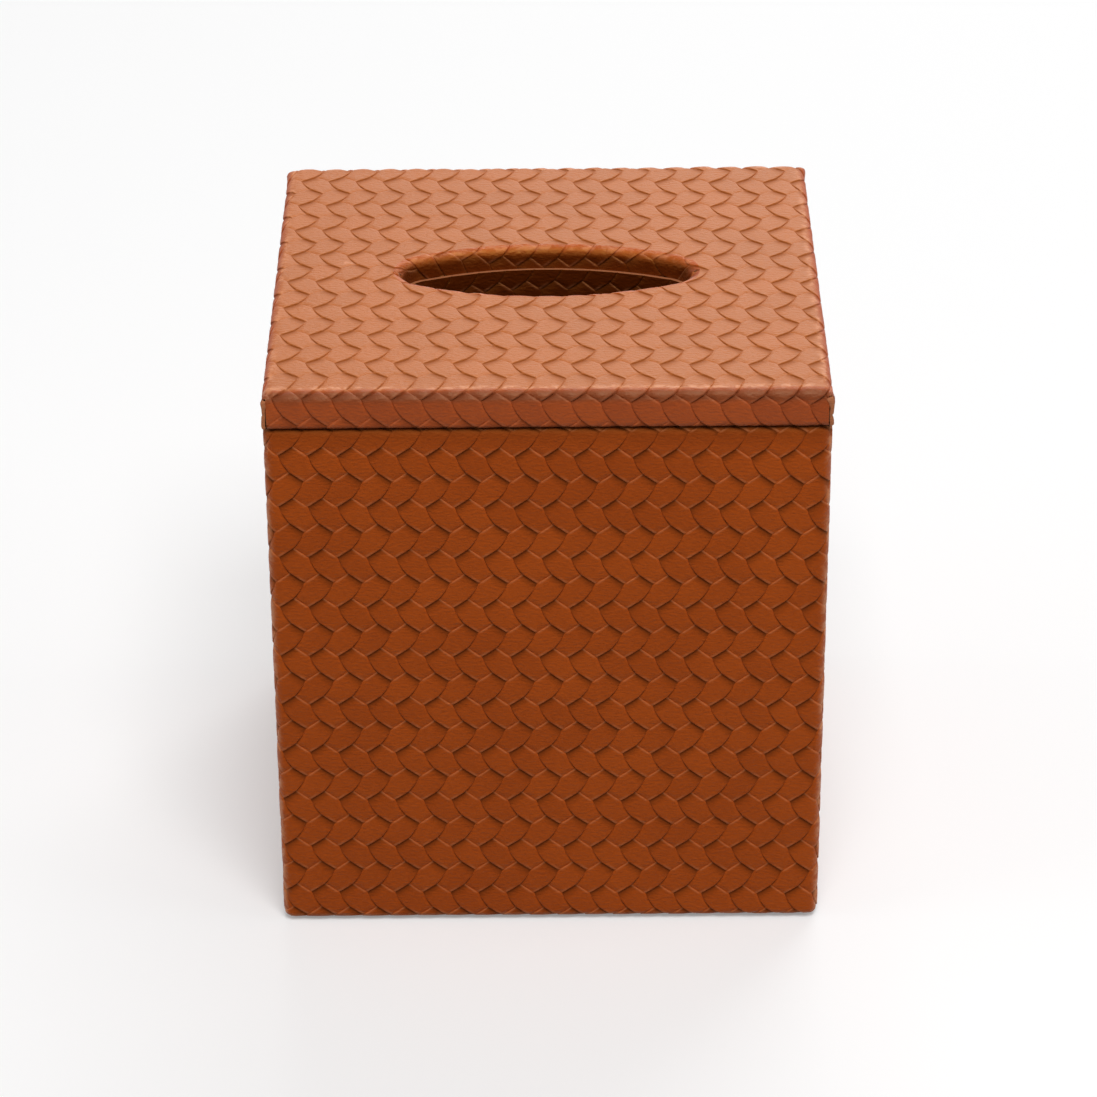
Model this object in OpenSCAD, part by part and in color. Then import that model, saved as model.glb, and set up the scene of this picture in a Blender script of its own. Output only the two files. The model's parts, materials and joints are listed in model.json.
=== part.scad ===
// Tissue box cover: a board box wrapped in woven-embossed leather, with a lift-off lid
// that has an oval opening. Millimetres.
// The origin is the middle of the footprint, on the table. +Z is up and the front faces -Y.

/* [Overall size] */
// Width of the cover, over the leather
cover_w = 140; // [125:1:180]
// Depth of the cover, over the leather
cover_d = 132; // [115:1:180]
// Height of the body, from the table to its rim
body_h = 146; // [90:1:200]
// Height of the lid above the rim
lid_h = 10; // [8:0.5:16]

/* [Leather] */
// Thickness of the embossed leather
leather_t = 1; // [0.8:0.1:1.2]
// Thickness of the leather where it is pared down to line the rim
turn_t = 0.6; // [0.4:0.1:1]
// Depth of the leather turned down inside the rim
turn_in = 18; // [12:1:30]
// Width of the leather turned under the base and under the lid
turn_under = 14; // [12:1:20]
// Radius of the body's upright corners, over the leather
corner_r = 2.8; // [2.2:0.1:6]
// Radius of the leather over the rim and round the foot
rim_r = 1.8; // [1.2:0.1:2.1]
// Radius of the lid's top edges, over the leather
lid_edge_r = 2.5; // [1.8:0.1:3]
// Radius of the lid's lower edges, over the leather
lid_foot_r = 1.2; // [1.2:0.1:2]
// Width of the cuts and butt joints in the leather
cut_w = 0.3; // [0.2:0.1:0.6]

/* [Boards] */
// Thickness of the four wall boards
wall_t = 5; // [3:0.5:6]
// Thickness of the base board
base_t = 4; // [3:0.5:8]

/* [Linings and base] */
// Thickness of the suede-covered lining cards
lining_t = 1.2; // [0.8:0.1:2]
// How far the lining cards stop below the rim
lining_drop = 3; // [2:0.5:6]
// Thickness of the suede pad under the base
pad_t = 0.6; // [0.4:0.1:2]
// How far the pad stays back from the sides
pad_inset = 3; // [2.5:0.5:8]
// Radius of the pad's corners
pad_corner_r = 3; // [1:0.5:8]

/* [Locating plug] */
// Thickness of the plug board that drops into the body
plug_h = 8; // [5:0.5:12]
// Play between the plug and the linings, on each side
plug_play = 0.8; // [0.5:0.1:1.5]
// Radius of the plug's upright corners, over its cover
plug_corner_r = 2.4; // [1.2:0.1:6]
// Thickness of the suede that covers the plug
suede_t = 0.8; // [0.5:0.1:1.1]

/* [Oval opening] */
// Length of the opening between its leather walls
opening_l = 74; // [50:1:90]
// Width of the opening between its leather walls
opening_w = 26; // [20:1:50]
// Radius of the opening's two ends
opening_end_r = 7; // [5:0.5:9]
// Radius of the leather rolled over the opening's rim
opening_rim_r = 2.5; // [1.8:0.1:3]
// How far the opening lies behind the middle of the lid
opening_back = 2; // [0:0.5:6]
// Thickness of the leather band inside the opening
band_t = 1; // [0.6:0.1:1.4]
// How far the band laps up over the lid's leather
band_lap = 1.2; // [0.5:0.1:3]

/* [Hidden] */
$fn = 64;
// Facets of a full circle of the opening's long side arcs, which are flat curves of a large radius
side_fn = 180;
// Overrun of the cuts past the faces that they open
over = 1;
// Smallest radius of a board's edge under the leather
least_r = 0.2;

// Heights, from the table up
leather_z = pad_t;
core_z = leather_z + leather_t;
floor_z = core_z + base_t;
core_top = body_h - leather_t;
lining_top = body_h - lining_drop;
board_z = body_h + leather_t;
lid_top = body_h + lid_h;
board_top = lid_top - leather_t;
plug_z = body_h - plug_h;
plug_low = plug_z - suede_t;

// Widths and depths, from the outside in
core_w = cover_w - 2 * leather_t;
core_d = cover_d - 2 * leather_t;
inner_w = core_w - 2 * wall_t;
inner_d = core_d - 2 * wall_t;
rim_w = inner_w - 2 * turn_t;
rim_d = inner_d - 2 * turn_t;
clear_w = rim_w - 2 * lining_t;
clear_d = rim_d - 2 * lining_t;
plug_w = clear_w - 2 * plug_play;
plug_d = clear_d - 2 * plug_play;

// Radii of the boards under the leather
core_corner_r = corner_r - leather_t;
core_rim_r = max(rim_r - leather_t, least_r);
board_edge_r = max(lid_edge_r - leather_t, least_r);
board_foot_r = max(lid_foot_r - leather_t, least_r);
opening_core_r = max(opening_rim_r - leather_t, least_r);
fold_r = turn_t;

// The opening is a four-centred oval: two end arcs joined by two long side arcs
half_l = opening_l / 2;
half_w = opening_w / 2;
end_x = half_l - opening_end_r;
side_r = (half_w * half_w + end_x * end_x - opening_end_r * opening_end_r)
    / (2 * (half_w - opening_end_r));
side_y = side_r - half_w;
// How far the radial lines between the arcs are drawn, past all of the rim
join_reach = 2 * (half_w + opening_rim_r) / (side_r - opening_end_r);
join_x = end_x * join_reach;
join_y = side_y * join_reach;

leather = [0.63, 0.31, 0.16];
board = [0.80, 0.68, 0.50];
card = [0.62, 0.58, 0.52];
suede = [0.42, 0.22, 0.12];

// A quarter disc in the first quadrant
module quarter(r) {
    if (r > 0) intersection() {
        circle(r);
        square(r);
    }
}

// A rectangle between two corners, if it has any area
module patch(low, high) {
    if (high.x > low.x && high.y > low.y) translate(low) square(high - low);
}

// A block's half section: x runs outwards from 0 to w, y from low to high, with round outer edges
module edge_section(w, low, high, top_r, foot_r) {
    wide_r = max(top_r, foot_r);
    patch([0, low], [w - wide_r, high]);
    patch([w - wide_r, low + foot_r], [w, high - top_r]);
    patch([w - wide_r, high - top_r], [w - top_r, high]);
    patch([w - wide_r, low], [w - foot_r, low + foot_r]);
    translate([w - top_r, high - top_r]) quarter(top_r);
    translate([w - foot_r, low + foot_r]) mirror([0, 1]) quarter(foot_r);
}

// Turns a child that faces the front, at the middle of its side, to each of the four sides
module side(turn, w, d) {
    reach = turn % 2 == 0 ? d / 2 : w / 2;
    rotate([0, 0, 90 * turn]) translate([0, -reach, 0]) children();
}

// Stands a section up and runs it along the front: x of the section points outwards
module run(length) {
    rotate([90, 0, -90]) linear_extrude(length, center = true) children();
}

// A prism that keeps one side's share of a mitred frame
module mitre_share(turn, w, d, low, high) {
    along = turn % 2 == 0 ? w : d;
    depth = min(w, d) / 2;
    side(turn, w, d) translate([0, 0, low]) linear_extrude(high - low) polygon([
        [-along / 2 - over, -over], [along / 2 + over, -over],
        [along / 2 - depth, depth], [depth - along / 2, depth]
    ]);
}

// Sweeps a section round a square-cornered frame, mitred at the corners
module mitred_frame(w, d, low, high) {
    for (turn = [0:3]) {
        intersection() {
            side(turn, w, d) run((turn % 2 == 0 ? w : d) + 2 * over) children();
            mitre_share(turn, w, d, low - over, high + over);
        }
    }
}

// Sweeps a section round a frame whose corners are arcs about the section's own axis
module rounded_frame(w, d) {
    for (turn = [0:3]) {
        side(turn, w, d) run(turn % 2 == 0 ? w : d) children();
    }
    for (right = [0, 1], back = [0, 1]) {
        start = right == 1 ? (back == 1 ? 0 : -90) : (back == 1 ? 90 : 180);
        translate([(right - 0.5) * w, (back - 0.5) * d, 0])
            rotate([0, 0, start]) rotate_extrude(angle = 90) children();
    }
}

// A plate with upright corners of radius r
module rounded_plate(w, d, r, low, high) {
    rounded_frame(w - 2 * r, d - 2 * r) patch([0, low], [r, high]);
    block(w - 2 * r, d - 2 * r, low, high);
}

// A square-cornered block about the vertical axis
module block(w, d, low, high) {
    translate([-w / 2, -d / 2, low]) cube([w, d, high - low]);
}

// The share of the oval that one end arc takes, between its radial lines
module end_share() {
    polygon([
        [end_x, 0], [end_x + join_x, -join_y], [end_x + join_y, -join_y],
        [end_x + join_y, join_y], [end_x + join_x, join_y]
    ]);
}

// The share of the oval that one side arc takes, between the same radial lines
module side_share() {
    polygon([[-end_x, 0], [end_x, 0], [end_x + join_x, join_y], [-end_x - join_x, join_y]]);
}

// The oval's outline, let out by off
module oval_area(off) {
    for (flip = [0, 1]) {
        mirror([flip, 0]) intersection() {
            translate([end_x, 0]) circle(opening_end_r + off);
            end_share();
        }
        mirror([0, flip]) intersection() {
            translate([0, -side_y]) circle(side_r + off, $fn = side_fn);
            side_share();
        }
    }
}

// A prism of the oval, let out by off
module oval_prism(off, low, high) {
    translate([0, opening_back, low]) linear_extrude(high - low) oval_area(off);
}

// Sweeps a section round the oval: x of the section is the distance out from the visible wall
module oval_frame(low, high) {
    translate([0, opening_back, 0]) for (flip = [0, 1]) {
        mirror([flip, 0, 0]) intersection() {
            translate([end_x, 0, 0]) rotate_extrude() translate([opening_end_r, 0]) children();
            translate([0, 0, low - over]) linear_extrude(high - low + 2 * over) end_share();
        }
        mirror([0, flip, 0]) intersection() {
            translate([0, -side_y, 0]) rotate_extrude($fn = side_fn)
                translate([side_r, 0]) children();
            translate([0, 0, low - over]) linear_extrude(high - low + 2 * over) side_share();
        }
    }
}

// The boards' outer form under the body's leather
module core_form() {
    rounded_frame(core_w - 2 * core_corner_r, core_d - 2 * core_corner_r)
        edge_section(core_corner_r, core_z, core_top, core_rim_r, core_rim_r);
    block(core_w - 2 * core_corner_r, core_d - 2 * core_corner_r, core_z, core_top);
}

// One wall board, mitred at both ends. The sides are counted 0 front, 1 right, 2 back, 3 left.
module wall_board(turn) {
    intersection() {
        core_form();
        mitre_share(turn, core_w, core_d, core_z - over, core_top + over);
        side(turn, core_w, core_d) translate([-cover_w, -over, core_z])
            cube([2 * cover_w, wall_t + over, core_top - core_z]);
    }
}

// The pad and the card under the base
module base_pad() {
    color(suede) rounded_plate(
        cover_w - 2 * pad_inset, cover_d - 2 * pad_inset, pad_corner_r, 0, pad_t);
}

module base_infill() {
    color(card) block(
        cover_w - 2 * turn_under, cover_d - 2 * turn_under, leather_z, core_z);
}

module base_board() {
    color(board) block(inner_w, inner_d, core_z, floor_z);
}

// The four walls
module front_wall() {
    color(board) wall_board(0);
}

module right_wall() {
    color(board) wall_board(1);
}

module back_wall() {
    color(board) wall_board(2);
}

module left_wall() {
    color(board) wall_board(3);
}

// The section of the leather outside the corner axes: up the side, over the rim, round the foot
module body_leather_outside() {
    difference() {
        edge_section(corner_r, leather_z, body_h, rim_r, rim_r);
        edge_section(corner_r - leather_t, core_z, core_top, core_rim_r, core_rim_r);
    }
}

// The section of the leather turned in: across the rim, round the fold and down inside
module body_leather_turn_in() {
    across = leather_t + wall_t + turn_t - corner_r;
    mirror([1, 0]) {
        edge_section(across, core_top, body_h, fold_r, 0);
        patch([across - turn_t, body_h - turn_in], [across, core_top]);
    }
}

// The leather wrapped round the body, with a butt seam at the back
module body_leather() {
    axis_w = cover_w - 2 * corner_r;
    axis_d = cover_d - 2 * corner_r;
    color(leather) difference() {
        union() {
            rounded_frame(axis_w, axis_d) body_leather_outside();
            mitred_frame(axis_w, axis_d, body_h - turn_in, body_h) body_leather_turn_in();
            mitred_frame(axis_w, axis_d, leather_z, core_z)
                patch([corner_r - turn_under, leather_z], [0, core_z]);
        }
        translate([-cut_w / 2, cover_d / 2 - leather_t, core_z])
            cube([cut_w, leather_t + over, core_top - core_z]);
        mitre_cuts(rim_w, rim_d, turn_t, body_h - turn_in - over, core_top);
        mitre_cuts(cover_w - 2 * turn_under, cover_d - 2 * turn_under, turn_under - corner_r,
            leather_z - over, core_z + over);
    }
}

// Cuts in turned leather along the mitre lines, outwards from the corners of a rectangle
module mitre_cuts(w, d, width, low, high) {
    for (right = [-1, 1], back = [-1, 1]) {
        translate([right * w / 2, back * d / 2, low]) rotate([0, 0, atan2(back, right)])
            translate([-over, -cut_w / 2, 0])
                cube([over + width * sqrt(2), cut_w, high - low]);
    }
}

// The linings: four wall cards that stand on the base board, then a floor card between them
module floor_lining() {
    color(suede) block(clear_w, clear_d, floor_z, floor_z + lining_t);
}

// A lining card's section, round along the top
module lining_section() {
    patch([0, floor_z], [lining_t, lining_top - lining_t / 2]);
    translate([lining_t / 2, lining_top - lining_t / 2]) for (flip = [0, 1]) {
        mirror([flip, 0]) quarter(lining_t / 2);
    }
}

// One lining card, with its back against the turned-in leather
module lining_card(turn, length) {
    side(turn, rim_w - 2 * lining_t, rim_d - 2 * lining_t) run(length) lining_section();
}

module front_lining() {
    color(suede) lining_card(0, rim_w);
}

module right_lining() {
    color(suede) lining_card(1, clear_d);
}

module back_lining() {
    color(suede) lining_card(2, rim_w);
}

module left_lining() {
    color(suede) lining_card(3, clear_d);
}

// What a round edge of radius r takes off the square corner of a section at the origin
module corner_cut(r) {
    difference() {
        patch([-r, -r], [over, over]);
        translate([-r, -r]) circle(r);
    }
}

// A block whose top and lower edges are rounded along all four sides
module edged_block(w, d, low, high, top_r, foot_r) {
    difference() {
        block(w, d, low, high);
        for (turn = [0:3]) {
            side(turn, w, d) run(max(w, d) + 2 * over) {
                translate([0, high]) corner_cut(top_r);
                translate([0, low]) mirror([0, 1]) corner_cut(foot_r);
            }
        }
    }
}

// The opening in a plate whose top edge is round and whose wall stands off from the visible one
module opening_cut(off, edge_r, low, top) {
    oval_prism(-over, low - over, top + over);
    oval_frame(low - over, top + over) {
        patch([-2 * over, low - over], [off, top + over]);
        translate([off, top]) mirror([1, 0]) corner_cut(edge_r);
    }
}

// The lid board's outer form under the leather
module lid_core_form() {
    edged_block(core_w, core_d, board_z, board_top, board_edge_r, board_foot_r);
}

// The lid's board, with round edges and the opening cut through it
module lid_board() {
    color(board) difference() {
        lid_core_form();
        opening_cut(leather_t, opening_core_r, board_z, board_top);
    }
}

// The lid's leather: over the top, down the sides and under, and rolled into the opening
module lid_leather() {
    color(leather) difference() {
        edged_block(cover_w, cover_d, body_h, lid_top, lid_edge_r, lid_foot_r);
        difference() {
            union() {
                lid_core_form();
                block(cover_w - 2 * turn_under, cover_d - 2 * turn_under, body_h - over,
                    board_z + over);
            }
            opening_cut(leather_t, opening_core_r, body_h - over, board_top);
        }
        opening_cut(0, opening_rim_r, body_h, lid_top);
        lid_corner_cuts();
        mitre_cuts(cover_w - 2 * turn_under, cover_d - 2 * turn_under, turn_under - leather_t,
            body_h - over, board_z);
    }
}

// At each corner of the lid the side flap laps the front or back flap, which stops at a cut
module lid_corner_cuts() {
    for (right = [-1, 1], back = [-1, 1]) {
        translate([right * (cover_w / 2 - leather_t), back * cover_d / 2, board_z])
            linear_extrude(board_top - board_edge_r - board_z)
                square([cut_w, 2 * leather_t], center = true);
    }
}

// The card between the turn-unders of the lid
module lid_infill() {
    color(card) difference() {
        block(cover_w - 2 * turn_under, cover_d - 2 * turn_under, body_h, board_z);
        oval_prism(leather_t, body_h - over, board_z + over);
    }
}

// The plug: its board, the strip round its edge and the suede under it
module plug_board() {
    color(board) difference() {
        rounded_plate(plug_w - 2 * suede_t, plug_d - 2 * suede_t, plug_corner_r - suede_t,
            plug_z, body_h);
        oval_prism(0, plug_z - over, body_h + over);
    }
}

module plug_edge_strip() {
    color(suede) rounded_frame(plug_w - 2 * plug_corner_r, plug_d - 2 * plug_corner_r)
        patch([plug_corner_r - suede_t, plug_z], [plug_corner_r, body_h]);
}

// The suede under the plug, with a round lower edge
module plug_lining() {
    axis_w = plug_w - 2 * plug_corner_r;
    axis_d = plug_d - 2 * plug_corner_r;
    color(suede) difference() {
        union() {
            rounded_frame(axis_w, axis_d)
                edge_section(plug_corner_r, plug_low, plug_z, 0, suede_t);
            block(axis_w, axis_d, plug_low, plug_z);
        }
        oval_prism(0, plug_low - over, plug_z + over);
    }
}

// The band of leather inside the opening, from the plug's underside up over the lid's leather
module opening_band() {
    color(leather) oval_frame(plug_low, board_z + band_lap)
        patch([-band_t, plug_low], [0, board_z + band_lap]);
}

base_pad();
base_infill();
base_board();
front_wall();
back_wall();
left_wall();
right_wall();
body_leather();
floor_lining();
front_lining();
back_lining();
left_lining();
right_lining();
lid_board();
lid_leather();
lid_infill();
plug_board();
plug_edge_strip();
plug_lining();
opening_band();
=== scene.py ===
# %% [markdown]
# # Tissue box cover in embossed leather
# The real object is a board box wrapped in tan leather that is embossed to look woven, under a
# thin lid of the same leather with an oval opening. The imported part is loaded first, as the fixed
# frame that every size below comes from. Lengths in this script are millimetres until a mesh is
# written.

import json
import math

import bmesh
import bpy
import numpy as np
from mathutils import Matrix, Vector

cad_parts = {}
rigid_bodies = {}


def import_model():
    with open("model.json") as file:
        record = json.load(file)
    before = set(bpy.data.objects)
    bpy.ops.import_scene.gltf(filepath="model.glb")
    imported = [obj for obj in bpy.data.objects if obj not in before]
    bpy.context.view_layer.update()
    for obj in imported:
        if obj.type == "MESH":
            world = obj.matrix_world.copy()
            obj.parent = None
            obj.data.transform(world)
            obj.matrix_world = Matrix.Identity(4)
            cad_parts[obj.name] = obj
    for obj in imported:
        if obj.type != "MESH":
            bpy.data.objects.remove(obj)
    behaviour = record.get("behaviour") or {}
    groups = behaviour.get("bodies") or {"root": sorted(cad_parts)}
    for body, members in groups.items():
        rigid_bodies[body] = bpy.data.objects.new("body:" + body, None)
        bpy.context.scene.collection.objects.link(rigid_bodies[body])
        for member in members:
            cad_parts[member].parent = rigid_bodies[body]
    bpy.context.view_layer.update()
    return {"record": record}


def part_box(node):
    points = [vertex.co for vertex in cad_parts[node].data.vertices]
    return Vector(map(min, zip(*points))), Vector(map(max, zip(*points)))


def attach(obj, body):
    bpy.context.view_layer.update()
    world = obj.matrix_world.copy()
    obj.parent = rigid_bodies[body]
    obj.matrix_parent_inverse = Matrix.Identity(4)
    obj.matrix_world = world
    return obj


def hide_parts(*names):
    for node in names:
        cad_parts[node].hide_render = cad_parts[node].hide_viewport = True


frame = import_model()
MM = 0.001
QUARTER = math.pi / 2


def node_box(name):
    """Lowest and highest corner of a CAD node, in millimetres."""
    low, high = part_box(name)
    return np.array(low) / MM, np.array(high) / MM


body_low, body_high = node_box("body_leather")
COVER_W, COVER_D = 2 * body_high[0], 2 * body_high[1]
FOOT_Z, RIM_Z, LID_Z = body_low[2], body_high[2], node_box("lid_leather")[1][2]
print("cover", COVER_W, COVER_D, "rim", RIM_Z, "lid", LID_Z)

# %% [markdown]
# ## The camera
# The photograph looks down at the front from far away with a long lens, so the upright edges
# hardly converge. The lens, place and tilt were fitted to the cover's silhouette. The camera is
# made first.

# %% Camera
CAMERA_AT = (0.03, -965.11, 632.45)
LOOK_DOWN, ROLL = math.radians(30.047), math.radians(0.368)
LENS, SENSOR = 136.96, 36.0
NEAR, FAR = 0.05, 20.0

lens_data = bpy.data.cameras.new("photo_camera")
lens_data.lens, lens_data.sensor_width = LENS, SENSOR
lens_data.clip_start, lens_data.clip_end = NEAR, FAR
camera = bpy.data.objects.new("photo_camera", lens_data)
bpy.context.scene.collection.objects.link(camera)
camera.matrix_world = (
    Matrix.Translation(Vector(CAMERA_AT) * MM)
    @ Matrix.Rotation(QUARTER - LOOK_DOWN, 4, "X")
    @ Matrix.Rotation(-ROLL, 4, "Z")
)
bpy.context.scene.camera = camera
print("camera", lens_data.lens, "mm lens")

# %% [markdown]
# ## Nodes as sums
# A material is easier to read as a formula. This small class wraps a node's socket, and adds,
# subtracts and multiplies it with Math nodes, so that a mask is written the way it is thought of.

# %% Socket arithmetic


class Wire:
    """A value that runs through a material, as a formula can use it."""

    def __init__(self, tree, socket):
        self.tree, self.socket = tree, socket

    def _math(self, operation, *values):
        return self.node("ShaderNodeMath", {"operation": operation}, dict(enumerate(values)))

    def node(self, kind, settings=None, inputs=None, output=0):
        """A new node of any kind, set and fed, as the wire that leaves it."""
        node = self.tree.nodes.new(kind)
        for key, value in (settings or {}).items():
            setattr(node, key, value)
        for key, value in (inputs or {}).items():
            if isinstance(value, Wire):
                self.tree.links.new(value.socket, node.inputs[key])
            else:
                node.inputs[key].default_value = value
        return Wire(self.tree, node.outputs[output])

    def __add__(self, other):
        return self._math("ADD", self, other)

    def __radd__(self, other):
        return self._math("ADD", other, self)

    def __sub__(self, other):
        return self._math("SUBTRACT", self, other)

    def __rsub__(self, other):
        return self._math("SUBTRACT", other, self)

    def __mul__(self, other):
        return self._math("MULTIPLY", self, other)

    def __rmul__(self, other):
        return self._math("MULTIPLY", other, self)

    def between(self, low, high):
        """0 below low, 1 above high, and a smooth ramp between."""
        return self.node(
            "ShaderNodeMapRange",
            {"interpolation_type": "SMOOTHSTEP"},
            {"Value": self, "From Min": low, "From Max": high},
        )

    def noise(self, scale, detail):
        """Noise at the place that this wire carries, with so many repeats in a metre."""
        return self.node(
            "ShaderNodeTexNoise", None, {"Vector": self, "Scale": scale, "Detail": detail}
        )

    def mix(self, low, high):
        """A colour between two, by this number."""
        return self.node(
            "ShaderNodeMix", {"data_type": "RGBA"}, {"Factor": self, 6: low, 7: high}, 2
        )

    def over(self, share, colour):
        """This colour, covered with another by a share."""
        return share.mix(self, colour)

    def bump(self, strength, distance):
        """This number as a height that tilts the surface's normal."""
        values = {"Strength": strength, "Distance": distance, "Height": self}
        return self.node("ShaderNodeBump", None, values)


def new_material(name):
    """A material with its nodes cleared, its shader and a wire to start formulas from."""
    material = bpy.data.materials.new(name)
    material.use_nodes = True
    tree = material.node_tree
    tree.nodes.clear()
    output = tree.nodes.new("ShaderNodeOutputMaterial")
    shader = tree.nodes.new("ShaderNodeBsdfPrincipled")
    tree.links.new(shader.outputs[0], output.inputs[0])
    coordinates = tree.nodes.new("ShaderNodeTexCoord")
    return material, shader, Wire(tree, coordinates.outputs["Object"])


def attribute(place, name):
    """A number that the mesh carries at each point."""
    return place.node("ShaderNodeAttribute", {"attribute_name": name}, None, 2)


def feed(shader, **inputs):
    """Links wires to the shader's sockets. Underscores stand for blanks in their names."""
    for key, value in inputs.items():
        socket = shader.inputs[key.replace("_", " ")]
        if isinstance(value, Wire):
            value.tree.links.new(value.socket, socket)
        else:
            socket.default_value = value


print("socket arithmetic ready")

# %% [markdown]
# ## The leather's finish
# The leather is dyed tan and pressed, then buffed: its raised tiles shine softly. A pattern laid
# over plain walls would look flat at the edges, so the relief is real mesh, and the mesh carries
# numbers that the colour follows: painted shade in the creases and under the lips (`crease_shade`),
# a painted highlight on the lips (`lip_highlight`), one tone for each tile (`tone`), a cut edge
# (`raw`), pale wear with a painted highlight on folds, corners and the roll's crest, and one scuff
# (`edge`), painted shade between lid and body (`gap_shade`), painted shade in the mouth and under
# the lid's front fold (`deep_shade`) and painted light that makes the top paler (`lit_top`). Only
# wrinkles and grain are bump. The gloss is tinted, because dyed leather throws back warm light.

# %% Leather material
LEATHER_TANS = (0.35, 0.050, 0.0045, 1), (0.43, 0.068, 0.0065, 1)
# Painted light and shade, in order: the paler colour of the lit top; the pale colour of cut edges
# and wear, which also stands in for painted highlights; the painted shade in creases; the painted
# shade in the mouth; the painted shade in the gap under the lid.
LEATHER_LIT_TOP = (0.43, 0.152, 0.016, 1)
LEATHER_PALE_AND_HIGHLIGHT = (0.70, 0.27, 0.12, 1)
CREASE_SHADE_DARK = (0.10, 0.014, 0.002, 1)
DEEP_SHADE_DARK = (0.085, 0.0135, 0.0012, 1)
GAP_SHADE_BLACK = (0.010, 0.003, 0.001, 1)
WALL_GLOSS, LID_GLOSS = (1.0, 0.58, 0.14, 1), (1.0, 0.86, 0.56, 1)
BLOTCHES, EDGE_PATCHES, WRINKLES, GRAIN = 38.0, 330.0, 1500.0, 2600.0
WRINKLE_STRETCH = (0.45, 1.0, 1.0)
WRINKLE_DEPTH = 0.0004


def leather_material(
    name, tint, gloss=0.42, depth=0.85, sharp=1.0, lip_brightness=0.40, deep_shade=0.0, lit_top=0.0
):
    """Depth is how dark the painted shade in the creases is, and sharp how narrow it is. The next
    three set how bright the painted highlight on the lips is, how dark the painted shade in the
    mouth and under the lid's front fold is, and how much painted light makes the top paler."""
    material, shader, place = new_material(name)
    crease_shade, lip_highlight, tone, raw = (attribute(place, n) for n in ("crease_shade", "lip_highlight", "tone", "raw"))
    stretched = place.node(
        "ShaderNodeVectorMath", {"operation": "MULTIPLY"}, {0: place, 1: WRINKLE_STRETCH}
    )
    wrinkle = stretched.noise(WRINKLES, 6.0)
    grain = place.noise(GRAIN, 4.0)
    shade = tone * 0.14 + place.noise(BLOTCHES, 2.0) * 0.36 + wrinkle * 0.50
    dyed = shade.between(0.33, 0.67).mix(*LEATHER_TANS)
    # Painted light: the top of the lid is made paler, as the light falls on it.
    if lit_top:
        dyed = dyed.over(attribute(place, "lit_top") * lit_top, LEATHER_LIT_TOP)
    # Painted shade: creases and the feet of the lips are darkened where shade falls.
    crease_shaded = dyed.over(crease_shade.between(0.0, sharp) * depth, CREASE_SHADE_DARK)
    # Painted shade: the mouth and the roll under the lid's front fold are darkened.
    if deep_shade:
        crease_shaded = crease_shaded.over(attribute(place, "deep_shade") * deep_shade, DEEP_SHADE_DARK)
    # Pale wear and painted highlight along folds and corners, broken into patches.
    edge_patches = place.noise(EDGE_PATCHES, 4.0).between(0.44, 0.58)
    edge_wear_and_highlight = attribute(place, "edge") * (0.12 + edge_patches * 0.88)
    # The pale colour covers cut edges, the painted highlight on the lips, and the edges' wear and
    # highlight.
    pale_and_highlighted = crease_shaded.over(lip_highlight * lip_brightness + edge_wear_and_highlight * 0.75 + raw * 0.55, LEATHER_PALE_AND_HIGHLIGHT)
    # Painted shade: the gap between lid and body is near black.
    feed(
        shader,
        Base_Color=pale_and_highlighted.over(attribute(place, "gap_shade"), GAP_SHADE_BLACK),
        Roughness=gloss + wrinkle * 0.10 + crease_shade * 0.35 - edge_wear_and_highlight * 0.10,
        Normal=(grain * 0.25 + wrinkle * 0.75).bump(0.85, WRINKLE_DEPTH),
        Specular_Tint=tint,
        Specular_IOR_Level=0.5,
    )
    return material


leather = leather_material("woven_leather", WALL_GLOSS)
lid_leather = leather_material(
    "lid_leather", LID_GLOSS, depth=0.40, sharp=0.75, lip_brightness=0.16, deep_shade=0.62, lit_top=0.40
)
rolled_leather = leather_material(
    "rolled_leather", WALL_GLOSS, gloss=0.30, depth=0.5, lip_brightness=0.24, deep_shade=1.0
)
print("leather material", len(leather.node_tree.nodes), "nodes")

# %% [markdown]
# ## Reading and writing meshes
# A sheet of leather has tens of thousands of points. Their places, and the numbers that they
# carry, are read and written as whole arrays, which keeps the script quick.

# %% Mesh arrays


def activate(obj):
    """Makes this object the only selected one, and the active one."""
    bpy.ops.object.select_all(action="DESELECT")
    obj.select_set(True)
    bpy.context.view_layer.objects.active = obj


def points(obj):
    """Where the mesh's points are, one row for each."""
    co = np.empty(len(obj.data.vertices) * 3, np.float32)
    obj.data.vertices.foreach_get("co", co)
    return co.reshape(-1, 3).astype(float)


def place_points(obj, co):
    obj.data.vertices.foreach_set("co", np.asarray(co, np.float32).ravel())
    obj.data.update()


def set_attribute(obj, name, values):
    layer = obj.data.attributes.get(name) or obj.data.attributes.new(name, "FLOAT", "POINT")
    layer.data.foreach_set("value", np.asarray(values, np.float32))


def get_attribute(obj, name):
    values = np.empty(len(obj.data.vertices), np.float32)
    obj.data.attributes[name].data.foreach_get("value", values)
    return values.astype(float)


def eased(x):
    """0 below 0, 1 above 1, and smooth between."""
    x = np.clip(x, 0, 1)
    return x * x * (3 - 2 * x)


print("mesh arrays ready")

# %% [markdown]
# ## The outline of one tile
# The embossing repeats one leaf-shaped tile, leaning left in one row and right in the next. Its
# outline is six slightly bowed edges, in units of the pitch. A square grid is moved to it in two
# halves, each of them a Coons patch: the surface that blends between four edge curves.

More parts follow.
